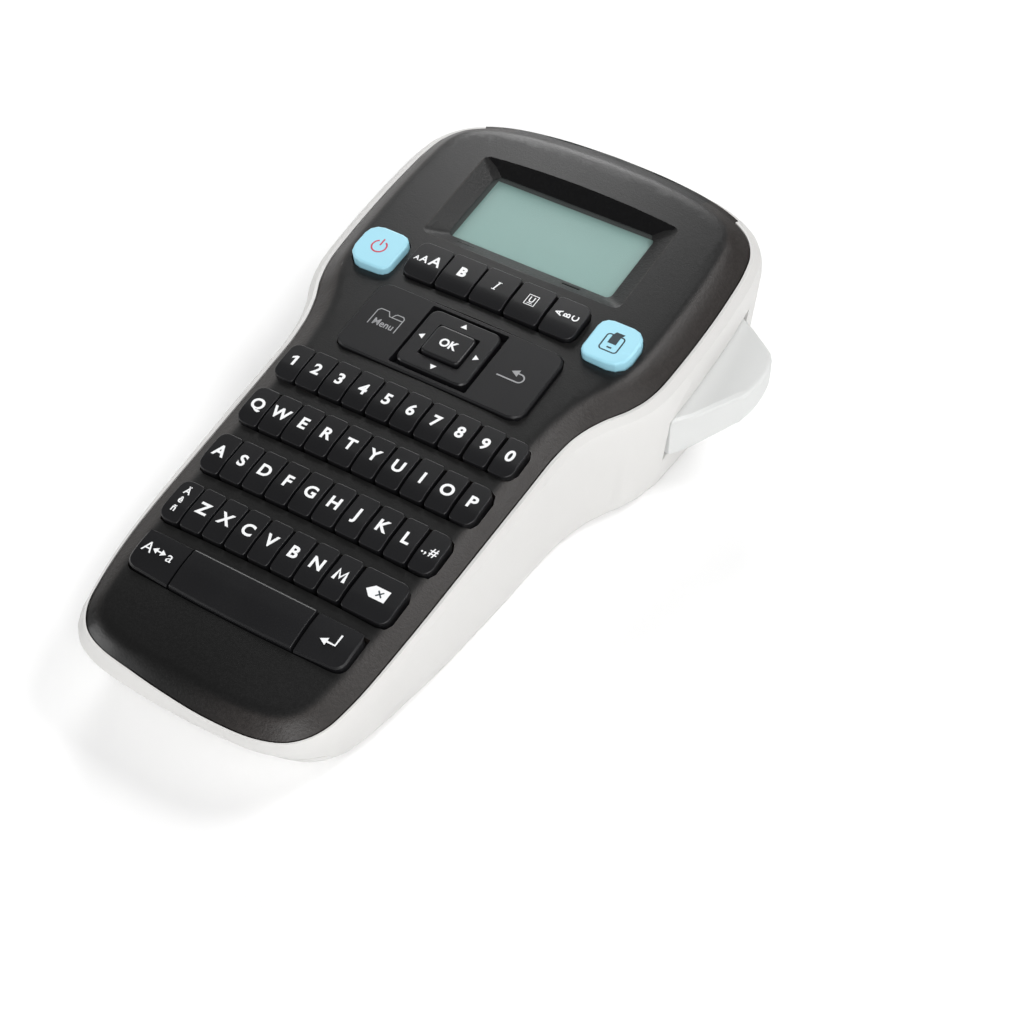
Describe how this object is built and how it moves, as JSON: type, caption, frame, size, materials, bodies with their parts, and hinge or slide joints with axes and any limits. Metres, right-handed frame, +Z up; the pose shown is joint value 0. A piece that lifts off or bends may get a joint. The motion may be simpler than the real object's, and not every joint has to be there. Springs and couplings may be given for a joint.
{
  "type": "label maker",
  "caption": "Handheld label maker: waisted two-tone case with a keypad, display, side cutter lever, tape mechanism, cassette and cells behind two doors.",
  "frame": {"origin": "on the flat back it rests on, on the middle line, between its two doors", "axes": "+X towards the cutter lever, +Y along the case towards the display end, +Z up through the keys"},
  "size_m": [0.1269, 0.2108, 0.0558],
  "materials": {
    "cover_charcoal": "fine satin grain",
    "shell_white": "light grey-white moulded plastic, fine matt grain",
    "lever_white": "cool white moulded plastic",
    "key_black": "satin black rubber-like keys with white legends",
    "panel_black": "satin black",
    "button_cyan": "pale cyan satin",
    "mat_rubber": "matt silicone rubber",
    "window_clear": "clear plastic display window",
    "display_grey": "grey-green liquid-crystal display",
    "board_green": "green circuit board",
    "frame_black": "black moulded plastic",
    "gear_white": "white nylon",
    "steel": "plain steel",
    "brass": "turned brass",
    "platen_rubber": "black rubber",
    "cassette_grey": "dark moulded plastic",
    "tape_white": "white label tape",
    "ribbon_black": "black ink ribbon",
    "cell_metal": "plain grey battery sleeve"
  },
  "bodies": {
    "case": {"rear_case": "shell_white", "front_cover": "cover_charcoal", "display_window": "window_clear", "display_module": "display_grey", "keypad_mat": "mat_rubber", "circuit_board": "board_green", "mechanism_frame": "frame_black", "drive_motor": "steel", "cutter_anvil": "steel", "cassette_case": "cassette_grey", "label_strip": "tape_white", "battery_1": "cell_metal", "battery_2": "cell_metal", "battery_3": "cell_metal", "battery_4": "cell_metal", "battery_5": "cell_metal", "battery_6": "cell_metal", "near_contact_strip": "steel", "far_contact_strip": "steel", "power_jack": "frame_black", "case_screw_1": "steel", "case_screw_2": "steel", "case_screw_3": "steel", "case_screw_4": "steel", "lever_pivot_pin": "steel"},
    "power_button": {"power_button": "button_cyan"},
    "print_button": {"print_button": "button_cyan"},
    "size_key": {"size_key": "key_black"},
    "bold_key": {"bold_key": "key_black"},
    "italic_key": {"italic_key": "key_black"},
    "box_key": {"box_key": "key_black"},
    "vertical_key": {"vertical_key": "key_black"},
    "ok_button": {"ok_button": "key_black"},
    "digit_keys": {"digit_keys": "key_black"},
    "upper_letter_keys": {"upper_letter_keys": "key_black"},
    "middle_letter_keys": {"middle_letter_keys": "key_black"},
    "lower_letter_keys": {"lower_letter_keys": "key_black"},
    "backspace_key": {"backspace_key": "key_black"},
    "case_shift_key": {"case_shift_key": "key_black"},
    "space_bar": {"space_bar": "key_black"},
    "return_key": {"return_key": "key_black"},
    "nav_panel": {"nav_panel": "panel_black"},
    "nav_cradle": {"nav_cradle": "mat_rubber"},
    "nav_ring": {"nav_ring": "key_black"},
    "lever": {"cutter_lever": "lever_white", "lever_spring": "steel"},
    "blade_slide": {"blade_carrier": "frame_black", "cutter_blade": "steel"},
    "cassette_door": {"cassette_door": "shell_white"},
    "battery_door": {"battery_door": "shell_white"},
    "head": {"head_carrier": "frame_black", "print_head": "steel"},
    "platen": {"platen_roller": "platen_rubber"},
    "idler": {"idler_gear": "gear_white"},
    "second": {"second_gear": "gear_white"},
    "first": {"first_gear": "gear_white"},
    "pinion": {"motor_pinion": "brass"},
    "ribbon": {"ribbon_spindle": "gear_white", "ribbon_spool": "ribbon_black"},
    "tape": {"tape_spool": "tape_white"}
  },
  "joints": [
    {"name": "power_press", "type": "slide", "parent": "case", "child": "power_button", "axis": [0, -0.1426, 0.9898], "range_m": [-0.0008, 0], "stiffness_N_per_m": 600},
    {"name": "print_press", "type": "slide", "parent": "case", "child": "print_button", "axis": [0, -0.1426, 0.9898], "range_m": [-0.0008, 0], "stiffness_N_per_m": 600},
    {"name": "size_press", "type": "slide", "parent": "case", "child": "size_key", "axis": [0, -0.1426, 0.9898], "range_m": [-0.0008, 0], "stiffness_N_per_m": 600},
    {"name": "bold_press", "type": "slide", "parent": "case", "child": "bold_key", "axis": [0, -0.1426, 0.9898], "range_m": [-0.0008, 0], "stiffness_N_per_m": 600},
    {"name": "italic_press", "type": "slide", "parent": "case", "child": "italic_key", "axis": [0, -0.1426, 0.9898], "range_m": [-0.0008, 0], "stiffness_N_per_m": 600},
    {"name": "box_press", "type": "slide", "parent": "case", "child": "box_key", "axis": [0, -0.1426, 0.9898], "range_m": [-0.0008, 0], "stiffness_N_per_m": 600},
    {"name": "vertical_press", "type": "slide", "parent": "case", "child": "vertical_key", "axis": [0, -0.1426, 0.9898], "range_m": [-0.0008, 0], "stiffness_N_per_m": 600},
    {"name": "ok_press", "type": "slide", "parent": "case", "child": "ok_button", "axis": [0, -0.1426, 0.9898], "range_m": [-0.0008, 0], "stiffness_N_per_m": 600},
    {"name": "digit_press", "type": "slide", "parent": "case", "child": "digit_keys", "axis": [0, -0.1426, 0.9898], "range_m": [-0.0008, 0], "stiffness_N_per_m": 600},
    {"name": "upper_letter_press", "type": "slide", "parent": "case", "child": "upper_letter_keys", "axis": [0, -0.1426, 0.9898], "range_m": [-0.0008, 0], "stiffness_N_per_m": 600},
    {"name": "middle_letter_press", "type": "slide", "parent": "case", "child": "middle_letter_keys", "axis": [0, -0.1426, 0.9898], "range_m": [-0.0008, 0], "stiffness_N_per_m": 600},
    {"name": "lower_letter_press", "type": "slide", "parent": "case", "child": "lower_letter_keys", "axis": [0, -0.1426, 0.9898], "range_m": [-0.0008, 0], "stiffness_N_per_m": 600},
    {"name": "backspace_press", "type": "slide", "parent": "case", "child": "backspace_key", "axis": [0, -0.1426, 0.9898], "range_m": [-0.0008, 0], "stiffness_N_per_m": 600},
    {"name": "case_shift_press", "type": "slide", "parent": "case", "child": "case_shift_key", "axis": [0, -0.1426, 0.9898], "range_m": [-0.0008, 0], "stiffness_N_per_m": 600},
    {"name": "space_bar_press", "type": "slide", "parent": "case", "child": "space_bar", "axis": [0, -0.1426, 0.9898], "range_m": [-0.0008, 0], "stiffness_N_per_m": 600},
    {"name": "return_press", "type": "slide", "parent": "case", "child": "return_key", "axis": [0, -0.1426, 0.9898], "range_m": [-0.0008, 0], "stiffness_N_per_m": 600},
    {"name": "nav_panel_tilt", "type": "hinge", "parent": "case", "child": "nav_panel", "pos_m": [0, 0.01968, 0.04237], "axis": [0, 0.9898, 0.1426], "range_deg": [-1.2, 1.2], "stiffness_Nm_per_rad": 0.6},
    {"name": "nav_ring_pitch", "type": "hinge", "parent": "case", "child": "nav_cradle", "pos_m": [0, 0.01968, 0.04237], "axis": [1, 0, 0], "range_deg": [-2, 2], "stiffness_Nm_per_rad": 0.3},
    {"name": "nav_ring_roll", "type": "hinge", "parent": "nav_cradle", "child": "nav_ring", "pos_m": [0, 0.01968, 0.04237], "axis": [0, 0.9898, 0.1426], "range_deg": [-2, 2], "stiffness_Nm_per_rad": 0.3},
    {"name": "lever_squeeze", "type": "hinge", "parent": "case", "child": "lever", "pos_m": [0.0466, 0.0406, 0.02], "axis": [0, 0, 1], "range_deg": [0, 8], "stiffness_Nm_per_rad": 3, "deforming": ["lever_spring"]},
    {"name": "blade_stroke", "type": "slide", "parent": "case", "child": "blade_slide", "axis": [-1, 0, 0], "range_m": [0, 0.0069]},
    {"name": "cassette_door_swing", "type": "hinge", "parent": "case", "child": "cassette_door", "pos_m": [-0.0292, 0.0562, 0.0014], "axis": [0, 1, 0], "range_deg": [0, 100]},
    {"name": "battery_door_slide", "type": "slide", "parent": "case", "child": "battery_door", "axis": [0, -1, 0], "range_m": [0, 0.015]},
    {"name": "head_swing", "type": "hinge", "parent": "case", "child": "head", "pos_m": [0.0219, 0.0625, 0.012], "axis": [0, 0, 1], "range_deg": [0, 5]},
    {"name": "platen_turn", "type": "hinge", "parent": "case", "child": "platen", "pos_m": [0.0342, 0.074, 0.03], "axis": [0, 0, 1], "continuous": true},
    {"name": "idler_turn", "type": "hinge", "parent": "case", "child": "idler", "pos_m": [0.02795, 0.05927, 0.03], "axis": [0, 0, 1], "continuous": true},
    {"name": "second_turn", "type": "hinge", "parent": "case", "child": "second", "pos_m": [0.02185, 0.04557, 0.03], "axis": [0, 0, 1], "continuous": true},
    {"name": "first_turn", "type": "hinge", "parent": "case", "child": "first", "pos_m": [0.01473, 0.02958, 0.03], "axis": [0, 0, 1], "continuous": true},
    {"name": "pinion_turn", "type": "hinge", "parent": "case", "child": "pinion", "pos_m": [0.00917, 0.01246, 0.03], "axis": [0, 0, 1], "continuous": true},
    {"name": "ribbon_turn", "type": "hinge", "parent": "case", "child": "ribbon", "pos_m": [0.01062, 0.06171, 0.03], "axis": [0, 0, 1], "continuous": true},
    {"name": "tape_turn", "type": "hinge", "parent": "case", "child": "tape", "pos_m": [-0.007, 0.0416, 0.03], "axis": [0, 0, 1], "continuous": true}
  ],
  "couplings": [
    {"joint": "idler_turn", "follows": "platen_turn", "ratio": -0.68421},
    {"joint": "second_turn", "follows": "platen_turn", "ratio": 1.1818},
    {"joint": "first_turn", "follows": "platen_turn", "ratio": -2.5785},
    {"joint": "pinion_turn", "follows": "platen_turn", "ratio": 9.0248},
    {"joint": "ribbon_turn", "follows": "platen_turn", "ratio": 0.8125},
    {"joint": "tape_turn", "follows": "platen_turn", "ratio": -0.32258},
    {"joint": "blade_stroke", "follows": "lever_squeeze", "m_per_rad": 0.049}
  ]
}
